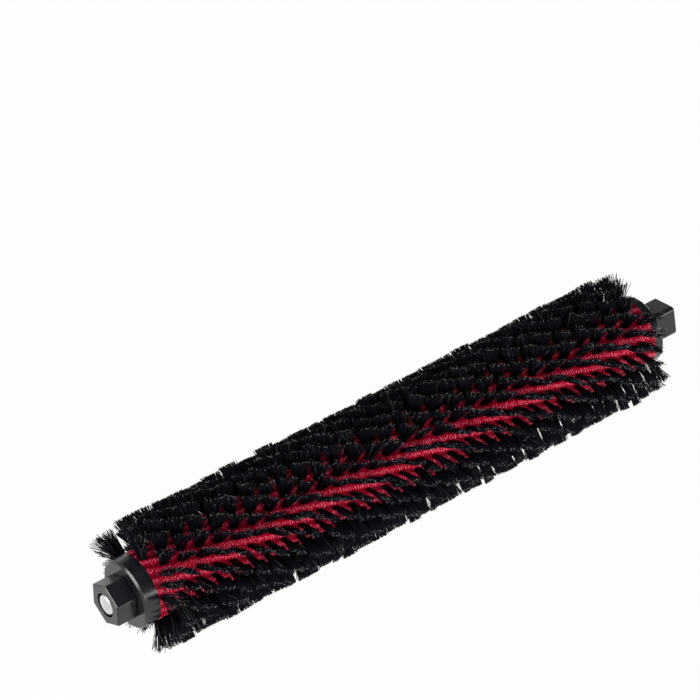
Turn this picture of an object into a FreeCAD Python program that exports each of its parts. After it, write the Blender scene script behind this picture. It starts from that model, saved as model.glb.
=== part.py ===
import FreeCAD, Part
import math
import os

# Roller brush of a robot vacuum: a core with tufts in helical rows, a hex bearing and a square drive
# Lengths in millimetres, angles in degrees; +X runs along the brush from the hex end to the square end
# The origin lies on the axis, half-way along the brush

# Core
core_length = 148.65
core_diameter = 17.2

# Collars, one on each end cap, flush with the core
collar_diameter = core_diameter
idle_collar_width = 4.05
drive_collar_width = 2.6
collar_rim_chamfer = 0.5

# Hex spigots that key the caps into the core
spigot_across_flats = 8.4
spigot_length = 8.0
spigot_clearance = 0.05
spigot_end_clearance = 0.3

# Square drive on the driven cap
square_across_flats = 7.6
square_length = 8.1
square_corner_radius = 1.0
square_end_chamfer = 0.4
square_corner_angle = 32.5

# Steel stub axle, pressed into the idle cap
axle_diameter = 5.0
axle_end_chamfer = 0.2
axle_recess = 0.1
axle_press_clearance = 0.02

# Hex bearing block that the axle turns in
hex_across_flats = 10.0
hex_length = 5.2
hex_corner_angle = 30.0
hex_corner_radius = 0.3
hex_edge_chamfer = 0.25
bearing_clearance = 0.05
bearing_face_gap = 0.2
bore_mouth_diameter = 6.1
bore_mouth_depth = 1.2

# Tufts: helical rows on a drilling pattern that steps along and around the core
bristle_diameter = 32.6
row_count = 20
tuft_pitch = 4.37
row_twist_per_tuft = 8.05
row_stagger = 0.25

# Each tuft fans out along its row, into a blade that almost meets the next one
tuft_root_along = 2.0
tuft_root_across = 1.0
tuft_tip_across = 1.2
tuft_gap_in_row = 0.4
tuft_seat_gap = 0.05
tuft_end_margin = 1.05

# One tuft of the first row, which sets the pattern along and around the core
first_tuft_x = 2.83
first_tuft_angle = 123.0

# The tips have taken a set towards the hex end
tuft_set = -0.6

# Sizes worked out from the ones above
core_radius = core_diameter / 2
idle_end_length = hex_length + bearing_face_gap + idle_collar_width
drive_end_length = drive_collar_width + square_length
hex_outer_x = -(idle_end_length + core_length + drive_end_length) / 2
hex_inner_x = hex_outer_x + hex_length
idle_face_x = hex_inner_x + bearing_face_gap
core_idle_x = idle_face_x + idle_collar_width
core_drive_x = core_idle_x + core_length
drive_face_x = core_drive_x + drive_collar_width
square_end_x = drive_face_x + square_length
socket_depth = spigot_length + spigot_end_clearance
row_angle = 360.0 / row_count
tuft_root_radius = core_radius + tuft_seat_gap
tuft_field_idle_x = core_idle_x + tuft_end_margin
tuft_field_drive_x = core_drive_x - tuft_end_margin

# The line of a row at the tips, and the blade that fills one step of it
bristle_radius = bristle_diameter / 2
step_around = bristle_diameter * math.sin(math.radians(row_twist_per_tuft) / 2)
row_slope = math.atan2(step_around, tuft_pitch)
tuft_tip_along = math.hypot(tuft_pitch, step_around) - tuft_gap_in_row
tip_reach_around = (tuft_tip_along * math.sin(row_slope) + tuft_tip_across * math.cos(row_slope)) / 2
tuft_tip_radius = math.sqrt(bristle_radius ** 2 - tip_reach_around ** 2)

x_direction = FreeCAD.Vector(1, 0, 0)


def point(x, radius, angle):
    """A point from its place along the axis, its radius and its angle from +Y towards +Z."""
    turn = math.radians(angle)
    return FreeCAD.Vector(x, radius * math.cos(turn), radius * math.sin(turn))


def rod(diameter, x_start, x_end):
    """A round bar along the axis."""
    start = FreeCAD.Vector(x_start, 0, 0)
    return Part.makeCylinder(diameter / 2, x_end - x_start, start, x_direction)


def polygon_bar(sides, across_flats, corner_angle, x_start, x_end):
    """A straight bar along the axis with a regular polygon for its section."""
    corner_radius = across_flats / 2 / math.cos(math.pi / sides)
    step = 360.0 / sides
    corners = [point(x_start, corner_radius, corner_angle + step * i) for i in range(sides + 1)]
    section = Part.Face(Part.makePolygon(corners))
    return section.extrude(FreeCAD.Vector(x_end - x_start, 0, 0))


def edges_at(shape, x):
    """The edges of a shape that lie in the plane across the axis at x."""
    near = Part.Precision.approximation()
    found = []
    for edge in shape.Edges:
        box = edge.BoundBox
        if abs(box.XMin - x) < near and abs(box.XMax - x) < near:
            found.append(edge)
    return found


def edges_along(shape):
    """The straight edges of a bar that run along the axis."""
    return [edge for edge in shape.Edges if edge.BoundBox.XLength > edge.Length / 2]


def spigot(x_start, x_end, clearance):
    """The hex key between a cap and the core, larger by the clearance where it cuts the socket."""
    return polygon_bar(6, spigot_across_flats + 2 * clearance, hex_corner_angle, x_start, x_end)


def collar(x_inner, x_face):
    """The round collar of a cap, with its outer rim bevelled."""
    disc = rod(collar_diameter, min(x_inner, x_face), max(x_inner, x_face))
    return disc.makeChamfer(collar_rim_chamfer, edges_at(disc, x_face))


def make_core():
    """The red rod, with a hex socket in each end."""
    body = rod(core_diameter, core_idle_x, core_drive_x)
    idle_socket = spigot(core_idle_x, core_idle_x + socket_depth, spigot_clearance)
    drive_socket = spigot(core_drive_x - socket_depth, core_drive_x, spigot_clearance)
    return body.cut([idle_socket, drive_socket])


def make_idle_cap():
    """The collar at the hex end, bored for the axle."""
    spigot_end_x = core_idle_x + spigot_length
    body = collar(core_idle_x, idle_face_x)
    body = body.fuse(spigot(core_idle_x, spigot_end_x, 0)).removeSplitter()
    axle_hole = rod(axle_diameter + 2 * axle_press_clearance, idle_face_x, spigot_end_x)
    return body.cut(axle_hole)


def make_drive_cap():
    """The collar at the driven end, with the square drive outside and the spigot inside."""
    square = polygon_bar(4, square_across_flats, square_corner_angle, drive_face_x, square_end_x)
    square = square.makeFillet(square_corner_radius, edges_along(square))
    square = square.makeChamfer(square_end_chamfer, edges_at(square, square_end_x))
    body = collar(core_drive_x, drive_face_x)
    key = spigot(core_drive_x - spigot_length, core_drive_x, 0)
    return body.fuse([square, key]).removeSplitter()


def make_axle():
    """The steel pin from a little below the hex face to the end of the idle cap's spigot."""
    x_start = hex_outer_x + axle_recess
    x_end = core_idle_x + spigot_length
    pin = rod(axle_diameter, x_start, x_end)
    return pin.makeChamfer(axle_end_chamfer, edges_at(pin, x_start) + edges_at(pin, x_end))


def make_hex_bearing():
    """The six-sided block with a running bore and a wider mouth."""
    block = polygon_bar(6, hex_across_flats, hex_corner_angle, hex_outer_x, hex_inner_x)
    block = block.makeFillet(hex_corner_radius, edges_along(block))
    block = block.makeChamfer(hex_edge_chamfer, edges_at(block, hex_outer_x))
    bore = rod(axle_diameter + 2 * bearing_clearance, hex_outer_x, hex_inner_x)
    mouth = rod(bore_mouth_diameter, hex_outer_x, hex_outer_x + bore_mouth_depth)
    return block.cut([bore, mouth])


def tuft_corners(x, angle, radius, along, across):
    """The four corners of a tuft's flat section, which lies along the row and square to the radius."""
    turn = math.radians(angle)
    outward = FreeCAD.Vector(0, math.cos(turn), math.sin(turn))
    sideways = FreeCAD.Vector(0, -math.sin(turn), math.cos(turn))
    centre = x_direction * x + outward * radius
    half_along = (x_direction * math.cos(row_slope) + sideways * math.sin(row_slope)) * (along / 2)
    half_across = (sideways * math.cos(row_slope) - x_direction * math.sin(row_slope)) * (across / 2)
    return [
        centre + half_along + half_across,
        centre - half_along + half_across,
        centre - half_along - half_across,
        centre + half_along - half_across,
    ]


def flat_face(corners):
    """A flat face from its corners."""
    return Part.Face(Part.makePolygon(corners + corners[:1]))


def make_tuft(x, angle):
    """One tuft: a bundle that leaves its hole narrow and fans out to its cut tip."""
    root = tuft_corners(x, angle, tuft_root_radius, tuft_root_along, tuft_root_across)
    tip = tuft_corners(x + tuft_set, angle, tuft_tip_radius, tuft_tip_along, tuft_tip_across)
    faces = [flat_face(root), flat_face(tip)]
    for i in range(len(root)):
        after = (i + 1) % len(root)
        faces.append(flat_face([root[i], root[after], tip[after], tip[i]]))
    return Part.makeSolid(Part.makeShell(faces))


def make_tuft_row(row):
    """All the tufts of one helical row, as separate solids."""
    row_x = first_tuft_x - tuft_pitch * row_stagger * row
    row_start_angle = first_tuft_angle + (row_angle - row_twist_per_tuft * row_stagger) * row
    first = math.ceil((tuft_field_idle_x - row_x) / tuft_pitch)
    last = math.floor((tuft_field_drive_x - row_x) / tuft_pitch)
    tufts = []
    for step in range(first, last + 1):
        tufts.append(make_tuft(row_x + tuft_pitch * step, row_start_angle + row_twist_per_tuft * step))
    return Part.makeCompound(tufts)


def main():
    """Build every piece and write one file for each."""
    pieces = {
        "red_core": make_core(),
        "idle_end_cap": make_idle_cap(),
        "drive_end_cap": make_drive_cap(),
        "stub_axle": make_axle(),
        "hex_bearing": make_hex_bearing(),
    }
    for row in range(row_count):
        pieces["tuft_row_%02d" % (row + 1)] = make_tuft_row(row)
    os.makedirs("parts", exist_ok=True)
    for name, shape in pieces.items():
        shape.exportStep("parts/%s.step" % name)


main()
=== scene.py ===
import math

import bmesh
import bpy
import numpy as np
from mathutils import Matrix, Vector


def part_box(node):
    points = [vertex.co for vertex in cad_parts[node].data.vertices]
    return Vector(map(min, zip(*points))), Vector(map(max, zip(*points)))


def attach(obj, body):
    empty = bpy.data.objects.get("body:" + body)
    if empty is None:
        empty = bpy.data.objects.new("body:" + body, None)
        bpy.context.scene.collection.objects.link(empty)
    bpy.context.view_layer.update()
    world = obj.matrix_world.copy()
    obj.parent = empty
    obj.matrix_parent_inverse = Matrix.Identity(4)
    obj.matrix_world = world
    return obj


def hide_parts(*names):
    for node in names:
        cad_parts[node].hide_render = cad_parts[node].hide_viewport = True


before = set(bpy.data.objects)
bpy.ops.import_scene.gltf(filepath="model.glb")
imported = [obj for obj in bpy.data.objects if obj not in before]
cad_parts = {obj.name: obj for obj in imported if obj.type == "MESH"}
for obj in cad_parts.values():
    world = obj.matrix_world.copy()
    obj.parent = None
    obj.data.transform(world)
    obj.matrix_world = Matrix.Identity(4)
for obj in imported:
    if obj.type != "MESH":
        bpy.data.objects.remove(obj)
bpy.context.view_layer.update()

bl_info = {
    "name": "Roller Brush Looks",
    "version": (1, 0, 0),
    "blender": (4, 5, 0),
    "location": "3D View > Sidebar > Roller Brush",
    "description": "Filaments, finishes, light and camera for a tufted roller brush",
    "category": "Object",
}

# Radius of the core and of the cut bristle tips, read from the frame
core_low, core_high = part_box("red_core")
core_radius = core_high[2]
row_names = sorted(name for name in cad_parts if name.startswith("tuft_row_"))
tip_radius = max(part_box(name)[1][2] for name in row_names)

# One seed for every scatter, so that each run gives the same brush
scatter_seed = 41

# Points closer than this are one point when a copy of a solid is merged
merge_distance = 1e-6

# A face of the core is part of its round side when its normal leans along the axis by less than this
side_lean = 0.5

# Points of the core beyond this share of its radius are on its side, and the others are in its sockets
side_share = 0.9

# Corners of a filament's side faces; its two end faces have fewer
side_corners = 4

# Filaments keep off the edges of their cells by this share of a cell, and clumps off the edges of theirs
cell_margin = 0.1
clump_margin = 0.2

# Share of a tuft's thickness that the clumps are spread over
clump_spread = 0.6

# How many times more than the others a loose filament is bent
loose_crimp = 4.0

# Range that holds most of a noise texture's values
noise_low = 0.3
noise_high = 0.7

# How far the crests of the core's ribs wander, in radians of their wave
rib_drift = 9.0

# How strongly the rows of tufts paint shade on the core, how strongly the noise sets random darker
# streaks, and how strongly the middle between the rows gets painted glints
row_painted_shade = -0.5
noise_streak = 0.5
row_glint_share = 0.3

# How far along a filament its cut end starts, where the painted glint of the cut ends begins
cut_start = 0.985

# Brightness of the steel's dull patches, as a share of the bright ones
dull_share = 0.8

# Point that the lamps are turned to
brush_middle = (0.0, 0.0, 0.0)

# Plain ends of a scale of grey
black = (0.0, 0.0, 0.0)
white = (1.0, 1.0, 1.0)


class BristleSettings(bpy.types.PropertyGroup):
    """Sizes of the filaments in a tuft."""

    width: bpy.props.FloatProperty(
        name="Filament Width",
        description="Width of one filament where it leaves the core",
        default=0.00015,
        unit="LENGTH",
    )
    tip_width: bpy.props.FloatProperty(
        name="Tip Width",
        description="Width of one filament at its cut end",
        default=0.00017,
        unit="LENGTH",
    )
    count_along: bpy.props.IntProperty(
        name="Filaments Along",
        description="Filaments side by side along the row in one tuft",
        default=22,
    )
    count_across: bpy.props.IntProperty(
        name="Filaments Across",
        description="Filaments side by side across the row in one tuft",
        default=4,
    )
    sunk: bpy.props.FloatProperty(
        name="Sunk Depth",
        description="How far the filaments go into the core",
        default=0.0006,
        unit="LENGTH",
    )
    fan: bpy.props.FloatProperty(
        name="Fan",
        description="Share of the tuft's solid, along the row, that the tips fill",
        default=1.04,
        subtype="FACTOR",
    )
    flare: bpy.props.FloatProperty(
        name="Flare",
        description="Below 1 the tuft opens out near its hole, above 1 near its tip",
        default=1.45,
    )
    uneven_cut: bpy.props.FloatProperty(
        name="Uneven Cut",
        description="Spread of the filament lengths at the cut",
        default=0.00022,
        unit="LENGTH",
    )
    short_share: bpy.props.FloatProperty(
        name="Short Share",
        description="Share of filaments that end well below the cut",
        default=0.08,
        subtype="FACTOR",
    )
    short_by: bpy.props.FloatProperty(
        name="Short By",
        description="How far the shortest filaments end below the cut",
        default=0.0025,
        unit="LENGTH",
    )
    clumps: bpy.props.IntProperty(
        name="Clumps",
        description="Clumps that the tips of one tuft gather into",
        default=6,
    )
    clumping: bpy.props.FloatProperty(
        name="Clumping",
        description="How far the tips gather towards their clump",
        default=0.4,
        subtype="FACTOR",
    )
    stray: bpy.props.FloatProperty(
        name="Stray",
        description="Spread of the tips away from the even fan of a tuft",
        default=0.00026,
        unit="LENGTH",
    )
    loose_share: bpy.props.FloatProperty(
        name="Loose Share",
        description="Share of filaments that stand well away from their tuft",
        default=0.02,
        subtype="FACTOR",
    )
    loose_stray: bpy.props.FloatProperty(
        name="Loose Stray",
        description="Spread of the tips of the loose filaments",
        default=0.0008,
        unit="LENGTH",
    )
    crimp: bpy.props.FloatProperty(
        name="Crimp",
        description="Spread of the bends half-way along the filaments",
        default=0.00012,
        unit="LENGTH",
    )
    tuft_turn: bpy.props.FloatProperty(
        name="Tuft Turn",
        description="Spread of the turn of whole tufts away from the line of their row",
        default=math.radians(9.0),
        subtype="ANGLE",
    )
    tuft_sway: bpy.props.FloatProperty(
        name="Tuft Sway",
        description="Spread of the lean of whole tufts",
        default=0.00038,
        unit="LENGTH",
    )
    tuft_wear: bpy.props.FloatProperty(
        name="Tuft Wear",
        description="How much shorter the most worn tufts are than the longest ones",
        default=0.0009,
        unit="LENGTH",
    )
    end_stray: bpy.props.FloatProperty(
        name="End Stray",
        description="Extra spread of the tips in the open tufts at the ends",
        default=0.0006,
        unit="LENGTH",
    )
    end_splay: bpy.props.FloatProperty(
        name="End Splay",
        description="How far the outermost filaments of the open tufts lean out past the ends of the core",
        default=0.0008,
        unit="LENGTH",
    )
    end_uneven: bpy.props.FloatProperty(
        name="End Uneven",
        description="How much shorter the shortest filaments are in the open tufts at the ends",
        default=0.0012,
        unit="LENGTH",
    )
    end_loose_share: bpy.props.FloatProperty(
        name="End Loose Share",
        description="Further share of loose filaments in the open tufts at the ends",
        default=0.25,
        subtype="FACTOR",
    )
    end_reach: bpy.props.FloatProperty(
        name="End Reach",
        description="Length of brush at each end where the tufts are open",
        default=0.006,
        unit="LENGTH",
    )


class LandSettings(bpy.types.PropertyGroup):
    """Sizes of the rounded lands on the core."""

    depth: bpy.props.FloatProperty(
        name="Groove Depth",
        description="How far the core dips along each row of tufts",
        default=0.0004,
        unit="LENGTH",
    )
    run_out: bpy.props.FloatProperty(
        name="Run Out",
        description="Length over which the grooves fade at each end of the core",
        default=0.001,
        unit="LENGTH",
    )
    ring_cuts: bpy.props.IntProperty(
        name="Ring Cuts",
        description="Cuts in each edge around the core",
        default=3,
    )
    side_cuts: bpy.props.IntProperty(
        name="Side Cuts",
        description="Cuts along the core",
        default=140,
    )


class FinishSettings(bpy.types.PropertyGroup):
    """Colours and grain of the brush."""

    core_colour: bpy.props.FloatVectorProperty(
        name="Core",
        description="Glossy red plastic of the core",
        subtype="COLOR",
        default=(0.44, 0.0012, 0.024),
    )
    # Painted shade: darker red along the rows of tufts, where the tufts shade the core; the random streaks
    # use it too
    core_streak_and_painted_shade: bpy.props.FloatVectorProperty(
        name="Core Shade",
        description="Darker red along the rows of tufts",
        subtype="COLOR",
        default=(0.22, 0.0007, 0.012),
    )
    # Painted highlight: pale pink painted on the crests of the ribs as glints of light
    core_painted_glint: bpy.props.FloatVectorProperty(
        name="Core Rubbed",
        description="Paler red on the rubbed crests of the ribs",
        subtype="COLOR",
        default=(0.95, 0.22, 0.29),
    )
    rib_pitch: bpy.props.FloatProperty(
        name="Rib Pitch",
        description="Distance between the fine turned ribs of the core",
        default=0.00066,
        unit="LENGTH",
    )
    rib_steepness: bpy.props.FloatProperty(
        name="Rib Steepness",
        description="Slope of the flanks of the ribs",
        default=0.25,
    )
    plastic_colour: bpy.props.FloatVectorProperty(
        name="Black Plastic",
        description="Black moulded plastic of the caps and the hex block",
        subtype="COLOR",
        default=(0.0072, 0.0067, 0.0090),
    )
    plastic_bloom: bpy.props.FloatVectorProperty(
        name="Plastic Bloom",
        description="Greyer patches on the black plastic",
        subtype="COLOR",
        default=(0.0122, 0.0115, 0.0148),
    )
    plastic_edge: bpy.props.FloatProperty(
        name="Plastic Edge",
        description="Radius that softens the moulded edges of the black plastic",
        default=0.00025,
        unit="LENGTH",
    )
    # Painted highlight: pale grey on the loose filaments, as light caught along their sides
    bristle_glint: bpy.props.FloatVectorProperty(
        name="Bristle Glint",
        description="Loose filaments that catch the light",
        subtype="COLOR",
        default=(0.060, 0.060, 0.063),
    )
    bristle_colour: bpy.props.FloatVectorProperty(
        name="Bristle",
        description="Darkest filaments",
        subtype="COLOR",
        default=(0.0062, 0.0058, 0.0098),
    )
    bristle_pale: bpy.props.FloatVectorProperty(
        name="Pale Bristle",
        description="Palest filaments",
        subtype="COLOR",
        default=(0.0085, 0.0080, 0.0128),
    )
    # Painted highlight: pale grey on the cut ends, as glints of light on the tips
    cut_end_glint: bpy.props.FloatVectorProperty(
        name="Cut Ends",
        description="Cut ends of the filaments",
        subtype="COLOR",
        default=(0.36, 0.36, 0.35),
    )
    steel_colour: bpy.props.FloatVectorProperty(
        name="Steel",
        description="Bright steel of the axle",
        subtype="COLOR",
        default=(0.78, 0.78, 0.77),
    )


class StageSettings(bpy.types.PropertyGroup):
    """Floor, light and camera."""

    floor_colour: bpy.props.FloatVectorProperty(
        name="Floor",
        description="Plain pale floor",
        subtype="COLOR",
        default=(0.88, 0.88, 0.88),
    )
    floor_white: bpy.props.FloatProperty(
        name="Floor White",
        description="Share of plain white in the floor as the camera and reflections see it",
        default=0.97,
        subtype="FACTOR",
    )
    sky_level: bpy.props.FloatProperty(
        name="Sky Level",
        description="Strength of the light from all round, at the horizon",
        default=0.9,
    )
    camera_place: bpy.props.FloatVectorProperty(
        name="Camera Place",
        description="Where the camera stands",
        subtype="TRANSLATION",
        default=(-0.42146, -0.53029, 0.60943),
    )
    camera_target: bpy.props.FloatVectorProperty(
        name="Camera Target",
        description="Point that the camera looks at",
        subtype="TRANSLATION",
        default=(0.005737, 0.026079, 0.011829),
    )
    camera_lens: bpy.props.FloatProperty(
        name="Camera Lens",
        description="Focal length in millimetres",
        default=197.3,
    )


def deselect_all():
    """Leaves object mode clear, with nothing selected."""
    if bpy.context.object and bpy.context.object.mode != "OBJECT":
        bpy.ops.object.mode_set(mode="OBJECT")
    bpy.ops.object.select_all(action="DESELECT")


def new_material(name):
    """An empty node material, with its shader and the object's own coordinates."""
    material = bpy.data.materials.new(name)
    material.use_nodes = True
    tree = material.node_tree
    shader = tree.nodes["Principled BSDF"]
    place = tree.nodes.new("ShaderNodeTexCoord")
    return material, tree, shader, place.outputs["Object"]


def noise(tree, vector, scale, detail):
    """A noise texture; the scale counts its lumps per metre."""
    texture = tree.nodes.new("ShaderNodeTexNoise")
    texture.inputs["Scale"].default_value = scale
    texture.inputs["Detail"].default_value = detail
    tree.links.new(vector, texture.inputs["Vector"])
    return texture.outputs["Fac"]


def ramp(tree, factor, stops):
    """A colour ramp from its places and colours."""
    node = tree.nodes.new("ShaderNodeValToRGB")
    elements = node.color_ramp.elements
    while len(elements) < len(stops):
        elements.new(1.0)
    for element, (place, colour) in zip(elements, stops):
        element.position = place
        element.color = (*colour, 1.0)
    tree.links.new(factor, node.inputs["Fac"])
    return node.outputs["Color"]


def spread(tree, factor, low, high):
    """Stretches a texture's middle range to the values low and high."""
    node = tree.nodes.new("ShaderNodeMapRange")
    node.inputs["From Min"].default_value = noise_low
    node.inputs["From Max"].default_value = noise_high
    node.inputs["To Min"].default_value = low
    node.inputs["To Max"].default_value = high
    tree.links.new(factor, node.inputs["Value"])
    return node.outputs["Result"]


def bump(tree, shader, height, depth, strength):
    """Turns a height texture into small relief on a shader."""
    node = tree.nodes.new("ShaderNodeBump")
    node.inputs["Distance"].default_value = depth
    node.inputs["Strength"].default_value = strength
    tree.links.new(height, node.inputs["Height"])
    tree.links.new(node.outputs["Normal"], shader.inputs["Normal"])
    return node


def wear(node_name, material):
    """Gives a solid of the frame its finished material."""
    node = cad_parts[node_name]
    for slot in node.material_slots:
        slot.material = material


def arithmetic(tree, operation, first, second=None):
    """A sum, product or the like of a socket and a number or a second socket."""
    node = tree.nodes.new("ShaderNodeMath")
    node.operation = operation
    tree.links.new(first, node.inputs[0])
    if isinstance(second, float):
        node.inputs[1].default_value = second
    elif second is not None:
        tree.links.new(second, node.inputs[1])
    return node.outputs["Value"]


def rib_wave(tree, place, pitch, phase):
    """A wave along the axis, from -1 to 1, whose crests wander a little."""
    parts = tree.nodes.new("ShaderNodeSeparateXYZ")
    tree.links.new(place, parts.inputs["Vector"])
    turns = arithmetic(tree, "MULTIPLY", parts.outputs["X"], 2 * math.pi / pitch)
    drift = arithmetic(tree, "MULTIPLY", noise(tree, place, scale=700.0, detail=2.0), rib_drift)
    wandering = arithmetic(tree, "ADD", turns, drift)
    return arithmetic(tree, "SINE", arithmetic(tree, "ADD", wandering, phase))


def tilt_along_axis(tree, shader, slope):
    """Tilts the surface along the axis, to and fro, as fine ribs around the core would."""
    tilt = tree.nodes.new("ShaderNodeCombineXYZ")
    tree.links.new(slope, tilt.inputs["X"])
    smooth = tree.nodes.new("ShaderNodeNewGeometry")
    tilted = tree.nodes.new("ShaderNodeVectorMath")
    tilted.operation = "ADD"
    tree.links.new(smooth.outputs["Normal"], tilted.inputs[0])
    tree.links.new(tilt.outputs["Vector"], tilted.inputs[1])
    evened = tree.nodes.new("ShaderNodeVectorMath")
    evened.operation = "NORMALIZE"
    tree.links.new(tilted.outputs["Vector"], evened.inputs[0])
    tree.links.new(evened.outputs["Vector"], shader.inputs["Normal"])


def mixed(tree, factor, first, second):
    """Mixes two colours, each a socket or a plain colour."""
    node = tree.nodes.new("ShaderNodeMix")
    node.data_type = "RGBA"
    tree.links.new(factor, node.inputs["Factor"])
    for name, colour in (("A", first), ("B", second)):
        socket = next(place for place in node.inputs if place.name == name and place.type == "RGBA")
        if isinstance(colour, bpy.types.NodeSocket):
            tree.links.new(colour, socket)
        else:
            socket.default_value = (*colour, 1.0)
    return next(place for place in node.outputs if place.type == "RGBA")


def row_winding():
    """The angle at which the first row would cross the middle of the brush, and its twist per metre."""
    first, second = (tuft["root"] for tuft in tufts_of(row_names[0])[:2])
    start = math.atan2(first[2], first[1])
    step = (math.atan2(second[2], second[1]) - start) % (2 * math.pi)
    twist = step / (second[0] - first[0])
    return start - twist * first[0], twist


def lane_angle(tree, place):
    """An angle that is 0 on each row of tufts and half a turn midway between two rows."""
    middle, twist = row_winding()
    parts = tree.nodes.new("ShaderNodeSeparateXYZ")
    tree.links.new(place, parts.inputs["Vector"])
    around = arithmetic(tree, "ARCTAN2", parts.outputs["Z"], parts.outputs["Y"])
    wound = arithmetic(tree, "MULTIPLY", parts.outputs["X"], twist)
    unwound = arithmetic(tree, "SUBTRACT", around, wound)
    from_row = arithmetic(tree, "SUBTRACT", unwound, middle)
    return arithmetic(tree, "MULTIPLY", from_row, float(len(row_names)))


def red_core_finish(finish):
    """Glossy red plastic with painted shade along the rows of tufts, random darker streaks, and painted
    highlights on the crests of its fine ribs between the rows.
    """
    material, tree, shader, place = new_material("red_core_finish")
    # Painted shade: darker red along each row of tufts and brighter midway between the rows, with random
    # darker streaks from the noise
    on_row = arithmetic(tree, "COSINE", lane_angle(tree, place))
    row_painted_light = arithmetic(tree, "MULTIPLY", on_row, row_painted_shade)
    streak_and_painted_shade = arithmetic(tree, "MULTIPLY", noise(tree, place, scale=420.0, detail=4.0), noise_streak)
    streak_and_painted_shade = arithmetic(tree, "ADD", streak_and_painted_shade, row_painted_light)
    plain = ramp(tree, streak_and_painted_shade, [(0.0, finish.core_streak_and_painted_shade), (0.40, finish.core_colour)])
    # Painted highlights: pale pink on the rib crests, in patches that gather midway between the rows of
    # tufts
    crest = spread(tree, rib_wave(tree, place, finish.rib_pitch, phase=0.0), low=-1.4, high=1.0)
    grain = noise(tree, place, scale=2200.0, detail=1.0)
    grain = arithmetic(tree, "ADD", grain, arithmetic(tree, "MULTIPLY", row_painted_light, row_glint_share))
    patchy = ramp(tree, grain, [(0.55, black), (0.66, white)])
    rubbed = arithmetic(tree, "MULTIPLY", crest, patchy)
    tree.links.new(mixed(tree, rubbed, plain, finish.core_painted_glint), shader.inputs["Base Color"])
    flank = rib_wave(tree, place, finish.rib_pitch, phase=math.pi / 2)
    tilt_along_axis(tree, shader, arithmetic(tree, "MULTIPLY", flank, finish.rib_steepness))
    gloss = noise(tree, place, scale=900.0, detail=2.0)
    tree.links.new(spread(tree, gloss, low=0.20, high=0.34), shader.inputs["Roughness"])
    shader.inputs["Specular IOR Level"].default_value = 0.06
    return material


def black_plastic_finish(finish):
    """Satin black moulded plastic with a faint grain and greyer patches."""
    material, tree, shader, place = new_material("black_plastic_finish")
    patch = noise(tree, place, scale=180.0, detail=4.0)
    stops = [(0.40, finish.plastic_colour), (0.70, finish.plastic_bloom)]
    tree.links.new(ramp(tree, patch, stops), shader.inputs["Base Color"])
    rub = noise(tree, place, scale=700.0, detail=5.0)
    tree.links.new(spread(tree, rub, low=0.20, high=0.27), shader.inputs["Roughness"])
    shader.inputs["Specular IOR Level"].default_value = 0.5
    grain = noise(tree, place, scale=2600.0, detail=2.0)
    relief = bump(tree, shader, grain, depth=0.00002, strength=0.06)
    rounded = tree.nodes.new("ShaderNodeBevel")
    rounded.inputs["Radius"].default_value = finish.plastic_edge
    tree.links.new(rounded.outputs["Normal"], relief.inputs["Normal"])
    return material


def steel_finish(finish):
    """Bright steel with the rings of its turned end face."""
    material, tree, shader, place = new_material("steel_finish")
    tint = noise(tree, place, scale=420.0, detail=3.0)
    dull = [channel * dull_share for channel in finish.steel_colour]
    stops = [(0.35, dull), (0.65, finish.steel_colour)]
    tree.links.new(ramp(tree, tint, stops), shader.inputs["Base Color"])
    shader.inputs["Metallic"].default_value = 1.0
    rings = tree.nodes.new("ShaderNodeTexWave")
    rings.wave_type = "RINGS"
    rings.rings_direction = "X"
    rings.inputs["Scale"].default_value = 900.0
    rings.inputs["Distortion"].default_value = 0.8
    tree.links.new(place, rings.inputs["Vector"])
    bump(tree, shader, rings.outputs["Fac"], depth=0.00001, strength=0.3)
    rub = noise(tree, place, scale=1500.0, detail=3.0)
    tree.links.new(spread(tree, rub, low=0.28, high=0.42), shader.inputs["Roughness"])
    return material


def point_value(tree, name):
    """A value that a mesh keeps for each of its points."""
    node = tree.nodes.new("ShaderNodeAttribute")
    node.attribute_name = name
    return node.outputs["Fac"]


def bristle_finish(finish):
    """Black nylon filaments that differ a little, with painted highlights on the cut ends of the palest
    ones and on the loose ones.
    """
    material, tree, shader, place = new_material("bristle_finish")
    fibre = point_value(tree, "fibre")
    dark = finish.bristle_colour
    body = ramp(tree, fibre, [(0.0, dark), (0.75, dark), (1.0, finish.bristle_pale)])
    # Painted highlight: the loose filaments are mixed towards a pale grey glint
    body = mixed(tree, point_value(tree, "loose"), body, finish.bristle_glint)
    # Painted highlight: the cut ends of the palest filaments turn pale grey
    painted_tip_glint = ramp(tree, fibre, [(0.0, dark), (0.76, dark), (1.0, finish.cut_end_glint)])
    at_cut = arithmetic(tree, "GREATER_THAN", point_value(tree, "reach"), cut_start)
    tree.links.new(mixed(tree, at_cut, body, painted_tip_glint), shader.inputs["Base Color"])
    rub = noise(tree, place, scale=1400.0, detail=2.0)
    tree.links.new(spread(tree, rub, low=0.42, high=0.60), shader.inputs["Roughness"])
    shader.inputs["Specular IOR Level"].default_value = 0.04
    return material


def filament_shape(settings):
    """Models one straight filament, one unit long, and returns its points and faces."""
    deselect_all()
    half_way = (0.0, 0.0, 0.5)
    bpy.ops.mesh.primitive_cone_add(
        vertices=3,
        radius1=settings.width / 2,
        radius2=settings.tip_width / 2,
        depth=1.0,
        end_fill_type="NGON",
        location=half_way,
    )
    pattern = bpy.context.object
    bpy.ops.object.transform_apply(location=True, rotation=True, scale=True)
    bpy.ops.object.mode_set(mode="EDIT")
    bpy.ops.mesh.select_all(action="SELECT")
    bpy.ops.mesh.bisect(plane_co=half_way, plane_no=(0.0, 0.0, 1.0))
    bpy.ops.object.mode_set(mode="OBJECT")
    points = np.array([vertex.co[:] for vertex in pattern.data.vertices])
    faces = [list(face.vertices) for face in pattern.data.polygons]
    mesh = pattern.data
    bpy.data.objects.remove(pattern)
    bpy.data.meshes.remove(mesh)
    return points, faces


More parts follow.
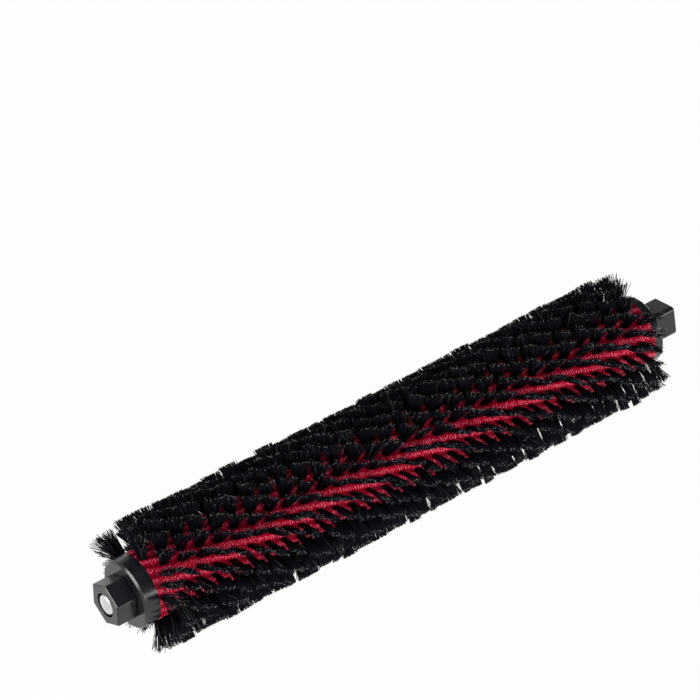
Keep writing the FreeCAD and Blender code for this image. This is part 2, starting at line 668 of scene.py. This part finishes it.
def tufts_of(row_name):
    """Reads from a row's solids where each tuft starts, where it ends and how it lies."""
    copy = bmesh.new()
    copy.from_mesh(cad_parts[row_name].data)
    bmesh.ops.remove_doubles(copy, verts=copy.verts, dist=merge_distance)
    waiting = set(copy.verts)
    tufts = []
    while waiting:
        island = []
        border = [waiting.pop()]
        while border:
            vertex = border.pop()
            island.append(vertex.co.copy())
            for edge in vertex.link_edges:
                other = edge.other_vert(vertex)
                if other in waiting:
                    waiting.remove(other)
                    border.append(other)
        tufts.append(np.array(island))
    copy.free()
    tufts.sort(key=lambda corners: corners[:, 0].mean())
    return [tuft_axes(corners) for corners in tufts]


def tuft_axes(corners):
    """The root and tip of one tuft, with half its section along and across the row."""
    radius = np.hypot(corners[:, 1], corners[:, 2])
    root, tip = np.split(corners[np.argsort(radius)], 2)
    along, across = np.linalg.svd(tip - tip.mean(axis=0))[2][:2]
    along = along * math.copysign(1.0, along[0])
    tuft = {"root": root.mean(axis=0), "tip": tip.mean(axis=0), "along": along, "across": across}
    for name, section in (("root", root), ("tip", tip)):
        offset = section - section.mean(axis=0)
        tuft[name + "_along"] = np.abs(offset @ along).max()
        tuft[name + "_across"] = np.abs(offset @ across).max()
    return tuft


def square_to_disc(u, v):
    """Moves points of a square onto a disc, keeping their spacing."""
    return u * np.sqrt(1 - v * v / 2), v * np.sqrt(1 - u * u / 2)


def out_to(points, radius):
    """Moves points straight out from the axis, or in, to a radius."""
    moved = points.copy()
    now = np.hypot(points[:, 1], points[:, 2])
    moved[:, 1] *= radius / now
    moved[:, 2] *= radius / now
    return moved


def spread_in_tuft(settings, scatter):
    """One place for each filament in a disc of radius 1, from a grid of cells along and across the row."""
    columns = settings.count_along
    lines = settings.count_across
    u, v = np.meshgrid(np.arange(columns), np.arange(lines))
    u = (u.ravel() + scatter.uniform(cell_margin, 1 - cell_margin, u.size)) / columns * 2 - 1
    v = (v.ravel() + scatter.uniform(cell_margin, 1 - cell_margin, v.size)) / lines * 2 - 1
    return square_to_disc(u, v)


def gather(u, v, settings, scatter):
    """Moves the filaments' places at the tip towards the nearest of a few clumps."""
    clumps = settings.clumps
    clump_u = np.arange(clumps) + scatter.uniform(clump_margin, 1 - clump_margin, clumps)
    clump_u = clump_u / clumps * 2 - 1
    clump_v = scatter.uniform(-clump_spread, clump_spread, clumps)
    nearest = np.abs(u[:, None] - clump_u[None]).argmin(axis=1)
    gathered_u = u + (clump_u[nearest] - u) * settings.clumping
    gathered_v = v + (clump_v[nearest] - v) * settings.clumping
    return gathered_u, gathered_v


def cut_radius(count, open_share, settings, scatter):
    """How far from the axis each filament of a tuft is cut off."""
    worn = scatter.uniform(0.0, settings.tuft_wear)
    reach = tip_radius - worn - np.abs(scatter.normal(0.0, settings.uneven_cut, count))
    is_short = scatter.uniform(0.0, 1.0, count) < settings.short_share
    reach -= is_short * scatter.uniform(0.0, settings.short_by, count)
    reach -= open_share * scatter.uniform(0.0, settings.end_uneven, count)
    return reach


def filament_lines(tuft, settings, scatter):
    """The root, tip, sideways bend and painted glint share of every filament of one tuft."""
    disc_u, disc_v = spread_in_tuft(settings, scatter)
    count = len(disc_u)
    turn = scatter.normal(0.0, settings.tuft_turn)
    along = tuft["along"] * math.cos(turn) + tuft["across"] * math.sin(turn)
    across = tuft["across"] * math.cos(turn) - tuft["along"] * math.sin(turn)
    root = tuft["root"] + np.outer(disc_u * tuft["root_along"], along)
    root = root + np.outer(disc_v * tuft["root_across"], across)
    root = out_to(root, core_radius - settings.sunk)
    sway_u, sway_v = scatter.normal(0.0, settings.tuft_sway, 2)
    gathered_u, gathered_v = gather(disc_u, disc_v, settings, scatter)
    from_end = min(tuft["root"][0] - core_low[0], core_high[0] - tuft["root"][0])
    open_share = max(0.0, 1.0 - from_end / settings.end_reach)
    loose_share = settings.loose_share + open_share * settings.end_loose_share
    loose = scatter.uniform(0.0, 1.0, count) < loose_share
    stray = np.where(loose, settings.loose_stray, settings.stray) + open_share * settings.end_stray
    tip_u = gathered_u * tuft["tip_along"] * settings.fan
    tip_u = tip_u + scatter.normal(0.0, 1.0, count) * stray + sway_u
    outward = -1.0 if tuft["root"][0] < 0.0 else 1.0
    tip_u = tip_u + outward * open_share * settings.end_splay * np.clip(disc_u * outward, 0.0, 1.0)
    tip_v = gathered_v * tuft["tip_across"] + scatter.normal(0.0, 1.0, count) * stray + sway_v
    tip = tuft["tip"] + np.outer(tip_u, along) + np.outer(tip_v, across)
    tip = out_to(tip, cut_radius(count, open_share, settings, scatter))
    crimp = settings.crimp * np.where(loose, loose_crimp, 1.0)
    bend = np.outer(scatter.normal(0.0, 1.0, count) * crimp, along)
    bend = bend + np.outer(scatter.normal(0.0, 1.0, count) * crimp, across)
    return root, tip, bend, loose * scatter.uniform(0.0, 1.0, count)


def unit(vectors):
    """Brings every vector of a list to length 1."""
    return vectors / np.linalg.norm(vectors, axis=1)[:, None]


def filament_points(pattern, root, tip, bend, settings, scatter):
    """Lays the points of the pattern along every filament, each turned about its own line."""
    height = pattern[:, 2]
    opened = height ** settings.flare
    arch = np.sin(math.pi * height)
    outward = root.copy()
    outward[:, 0] = 0.0
    outward = unit(outward)
    run = tip - root
    rise = (run * outward).sum(axis=1)
    drift = run - rise[:, None] * outward
    centre = root[:, None] + outward[:, None] * (rise[:, None] * height)[..., None]
    centre = centre + drift[:, None] * opened[None, :, None] + bend[:, None] * arch[None, :, None]
    forward = unit(run)
    side = unit(np.cross(forward, np.array([1.0, 0.0, 0.0])))
    front = np.cross(forward, side)
    turn = scatter.uniform(0.0, 2 * math.pi, len(root))
    first = side * np.cos(turn)[:, None] + front * np.sin(turn)[:, None]
    second = np.cross(forward, first)
    section = first[:, None] * pattern[None, :, 0, None] + second[:, None] * pattern[None, :, 1, None]
    return (centre + section).reshape(-1, 3)


def filament_mesh(name, vertices, faces, count):
    """A mesh of many filaments, from the points of all of them and the faces of one."""
    sizes = np.tile([len(face) for face in faces], count)
    first_points = np.arange(count) * (len(vertices) // count)
    corners = (np.concatenate(faces)[None, :] + first_points[:, None]).ravel()
    mesh = bpy.data.meshes.new(name)
    mesh.vertices.add(len(vertices))
    mesh.vertices.foreach_set("co", vertices.ravel())
    mesh.loops.add(len(corners))
    mesh.loops.foreach_set("vertex_index", corners.astype(np.int32))
    mesh.polygons.add(len(sizes))
    mesh.polygons.foreach_set("loop_start", (np.cumsum(sizes) - sizes).astype(np.int32))
    mesh.polygons.foreach_set("use_smooth", sizes == side_corners)
    return mesh


def keep_value(mesh, name, values):
    """Keeps a value for each point of a mesh, for its material to read."""
    attribute = mesh.attributes.new(name, "FLOAT", "POINT")
    attribute.data.foreach_set("value", values.astype(np.float32))


def make_row(row_name, shape, settings, material, scatter):
    """Builds one helical row of tufts out of copies of the filament."""
    pattern, faces = shape
    lines = [filament_lines(tuft, settings, scatter) for tuft in tufts_of(row_name)]
    root, tip, bend, loose = (np.concatenate(part) for part in zip(*lines))
    count = len(root)
    vertices = filament_points(pattern, root, tip, bend, settings, scatter)
    mesh = filament_mesh(row_name + "_bristles", vertices, faces, count)
    keep_value(mesh, "reach", np.tile(pattern[:, 2], count))
    keep_value(mesh, "fibre", np.repeat(scatter.uniform(0.0, 1.0, count), len(pattern)))
    # Share of painted glint on each loose filament, for the material to read
    keep_value(mesh, "loose", np.repeat(loose, len(pattern)))
    mesh.update(calc_edges=True)
    mesh.validate()
    mesh.materials.append(material)
    row = bpy.data.objects.new(row_name + "_bristles", mesh)
    bpy.context.scene.collection.objects.link(row)
    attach(row, "roller")
    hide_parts(row_name)


def open_side(core):
    """Takes the round side off a copy of the core and leaves its two end rings selected."""
    bpy.ops.object.mode_set(mode="EDIT")
    bpy.ops.mesh.select_mode(type="FACE")
    bpy.ops.mesh.select_all(action="SELECT")
    bpy.ops.mesh.remove_doubles(threshold=merge_distance)
    bpy.ops.mesh.select_all(action="DESELECT")
    edit = bmesh.from_edit_mesh(core.data)
    for face in edit.faces:
        radii = [math.hypot(vertex.co.y, vertex.co.z) for vertex in face.verts]
        face.select_set(abs(face.normal.x) < side_lean and min(radii) > side_share * core_radius)
    bmesh.update_edit_mesh(core.data)
    bpy.ops.mesh.delete(type="FACE")
    bpy.ops.mesh.select_mode(type="EDGE")
    bpy.ops.mesh.select_non_manifold()


def make_core(lands, material):
    """Rebuilds the core's side with rounded lands between the rows of tufts."""
    deselect_all()
    core = bpy.data.objects.new("red_core_lands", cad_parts["red_core"].data.copy())
    bpy.context.scene.collection.objects.link(core)
    core.select_set(True)
    bpy.context.view_layer.objects.active = core
    open_side(core)
    bpy.ops.mesh.subdivide(number_cuts=lands.ring_cuts)
    bpy.ops.mesh.bridge_edge_loops(number_cuts=lands.side_cuts)
    bpy.ops.mesh.select_all(action="SELECT")
    bpy.ops.mesh.normals_make_consistent(inside=False)
    bpy.ops.object.mode_set(mode="OBJECT")
    middle, twist = row_winding()
    for vertex in core.data.vertices:
        x, y, z = vertex.co
        if math.hypot(y, z) < side_share * core_radius:
            continue
        angle = math.atan2(z, y)
        lane = (angle - twist * x - middle) * len(row_names)
        from_end = min(x - core_low[0], core_high[0] - x)
        sunk = lands.depth * min(1.0, from_end / lands.run_out) * (1 + math.cos(lane)) / 2
        radius = core_radius - sunk
        vertex.co = (x, radius * math.cos(angle), radius * math.sin(angle))
    for face in core.data.polygons:
        face.use_smooth = abs(face.normal.x) < side_lean
    core.data.materials.clear()
    core.data.materials.append(material)
    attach(core, "roller")
    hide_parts("red_core")


class BRUSH_OT_red_core(bpy.types.Operator):
    """Build the core's lands and give them their glossy ribbed red plastic"""

    bl_idname = "brush.red_core"
    bl_label = "Build Core"

    def execute(self, context):
        make_core(context.scene.brush_lands, red_core_finish(context.scene.brush_finish))
        return {"FINISHED"}


class BRUSH_OT_black_caps(bpy.types.Operator):
    """Give both end caps and the hex block their black moulded plastic"""

    bl_idname = "brush.black_caps"
    bl_label = "Finish Caps and Hex Block"

    def execute(self, context):
        material = black_plastic_finish(context.scene.brush_finish)
        for name in ("idle_end_cap", "drive_end_cap", "hex_bearing"):
            wear(name, material)
        return {"FINISHED"}


class BRUSH_OT_steel_axle(bpy.types.Operator):
    """Give the axle its bright turned steel"""

    bl_idname = "brush.steel_axle"
    bl_label = "Finish Axle"

    def execute(self, context):
        wear("stub_axle", steel_finish(context.scene.brush_finish))
        return {"FINISHED"}


class BRUSH_OT_bristles(bpy.types.Operator):
    """Build every row of tufts from filaments"""

    bl_idname = "brush.bristles"
    bl_label = "Build Bristle Rows"

    def execute(self, context):
        settings = context.scene.brush_bristles
        material = bristle_finish(context.scene.brush_finish)
        shape = filament_shape(settings)
        scatter = np.random.default_rng(scatter_seed)
        for name in row_names:
            make_row(name, shape, settings, material, scatter)
        return {"FINISHED"}


def floor_finish(stage):
    """Pale floor that stays white to the camera and in reflections, and keeps a light shadow."""
    material, tree, shader, _ = new_material("pale_floor")
    shader.inputs["Base Color"].default_value = (*stage.floor_colour, 1.0)
    shader.inputs["Roughness"].default_value = 0.9
    shader.inputs["Specular IOR Level"].default_value = 0.0
    plain = tree.nodes.new("ShaderNodeEmission")
    plain.inputs["Color"].default_value = (*white, 1.0)
    plain.inputs["Strength"].default_value = 1.0
    ray = tree.nodes.new("ShaderNodeLightPath")
    seen = arithmetic(tree, "MAXIMUM", ray.outputs["Is Camera Ray"], ray.outputs["Is Glossy Ray"])
    seen = arithmetic(tree, "MAXIMUM", seen, ray.outputs["Is Transmission Ray"])
    mix = tree.nodes.new("ShaderNodeMixShader")
    tree.links.new(arithmetic(tree, "MULTIPLY", seen, stage.floor_white), mix.inputs["Fac"])
    tree.links.new(shader.outputs["BSDF"], mix.inputs[1])
    tree.links.new(plain.outputs["Emission"], mix.inputs[2])
    tree.links.new(mix.outputs["Shader"], tree.nodes["Material Output"].inputs["Surface"])
    return material


def add_floor(stage):
    """A wide floor under the lowest bristle tips."""
    deselect_all()
    bpy.ops.mesh.primitive_plane_add(size=12.0, location=(0.0, 0.0, -tip_radius))
    floor = bpy.context.object
    floor.name = "pale_floor"
    bpy.ops.object.transform_apply(location=True, rotation=True, scale=True)
    floor.data.materials.append(floor_finish(stage))


def turned_to(place, target):
    """The rotation that turns a lamp or a camera from its place towards a point."""
    return (Vector(target) - Vector(place)).to_track_quat("-Z", "Y").to_euler()


def add_softbox(name, place, width, height, power):
    """A large soft lamp turned towards the brush."""
    lamp = bpy.data.lights.new(name, "AREA")
    lamp.shape = "RECTANGLE"
    lamp.size = width
    lamp.size_y = height
    lamp.energy = power
    softbox = bpy.data.objects.new(name, lamp)
    softbox.location = place
    softbox.rotation_euler = turned_to(place, brush_middle)
    bpy.context.scene.collection.objects.link(softbox)


def add_sky(stage):
    """White light from all round, bright at the horizon and dimmer overhead."""
    world = bpy.data.worlds.new("studio_sky")
    world.use_nodes = True
    tree = world.node_tree
    place = tree.nodes.new("ShaderNodeTexCoord")
    parts = tree.nodes.new("ShaderNodeSeparateXYZ")
    tree.links.new(place.outputs["Generated"], parts.inputs["Vector"])
    stops = [(0.0, white), (0.25, (0.75, 0.75, 0.75)), (0.5, (0.14, 0.14, 0.15))]
    sky = tree.nodes["Background"]
    tree.links.new(ramp(tree, parts.outputs["Z"], stops), sky.inputs["Color"])
    sky.inputs["Strength"].default_value = stage.sky_level
    bpy.context.scene.world = world


def add_camera(stage):
    """The camera at the viewing angle of the picture."""
    lens = bpy.data.cameras.new("front_camera")
    lens.lens = stage.camera_lens
    lens.sensor_width = 36.0
    camera = bpy.data.objects.new("front_camera", lens)
    camera.location = stage.camera_place
    camera.rotation_euler = turned_to(stage.camera_place, stage.camera_target)
    bpy.context.scene.collection.objects.link(camera)
    bpy.context.scene.camera = camera


class BRUSH_OT_stage(bpy.types.Operator):
    """Set up the floor, the soft light and the camera"""

    bl_idname = "brush.stage"
    bl_label = "Set Up Stage"

    def execute(self, context):
        stage = context.scene.brush_stage
        add_floor(stage)
        add_sky(stage)
        add_softbox("key_softbox", place=(-0.20, -1.05, 0.45), width=0.7, height=0.7, power=8.0)
        add_softbox("side_softbox", place=(-1.0, 0.1, 0.5), width=0.9, height=0.3, power=9.0)
        add_softbox("front_softbox", place=(0.55, -1.1, 0.22), width=0.5, height=0.3, power=5.0)
        add_camera(stage)
        context.scene.view_settings.view_transform = "Standard"
        return {"FINISHED"}


class BRUSH_PT_sidebar(bpy.types.Panel):
    """Lists the steps that build the looks"""

    bl_idname = "BRUSH_PT_sidebar"
    bl_label = "Roller Brush"
    bl_space_type = "VIEW_3D"
    bl_region_type = "UI"
    bl_category = "Roller Brush"

    def draw(self, context):
        for step in steps:
            self.layout.operator(step.bl_idname)


steps = (BRUSH_OT_red_core, BRUSH_OT_black_caps, BRUSH_OT_steel_axle, BRUSH_OT_bristles, BRUSH_OT_stage)
settings_groups = (BristleSettings, LandSettings, FinishSettings, StageSettings)


def register():
    """Makes the settings, the steps and the panel known to Blender."""
    for group in settings_groups + steps + (BRUSH_PT_sidebar,):
        bpy.utils.register_class(group)
    bpy.types.Scene.brush_bristles = bpy.props.PointerProperty(type=BristleSettings)
    bpy.types.Scene.brush_lands = bpy.props.PointerProperty(type=LandSettings)
    bpy.types.Scene.brush_finish = bpy.props.PointerProperty(type=FinishSettings)
    bpy.types.Scene.brush_stage = bpy.props.PointerProperty(type=StageSettings)


def unregister():
    """Takes them away again."""
    del bpy.types.Scene.brush_stage
    del bpy.types.Scene.brush_finish
    del bpy.types.Scene.brush_lands
    del bpy.types.Scene.brush_bristles
    for group in reversed(settings_groups + steps + (BRUSH_PT_sidebar,)):
        bpy.utils.unregister_class(group)


def main():
    """Builds the looks step by step."""
    register()
    bpy.ops.brush.red_core()
    bpy.ops.brush.black_caps()
    bpy.ops.brush.steel_axle()
    bpy.ops.brush.bristles()
    bpy.ops.brush.stage()


if __name__ == "__main__":
    main()
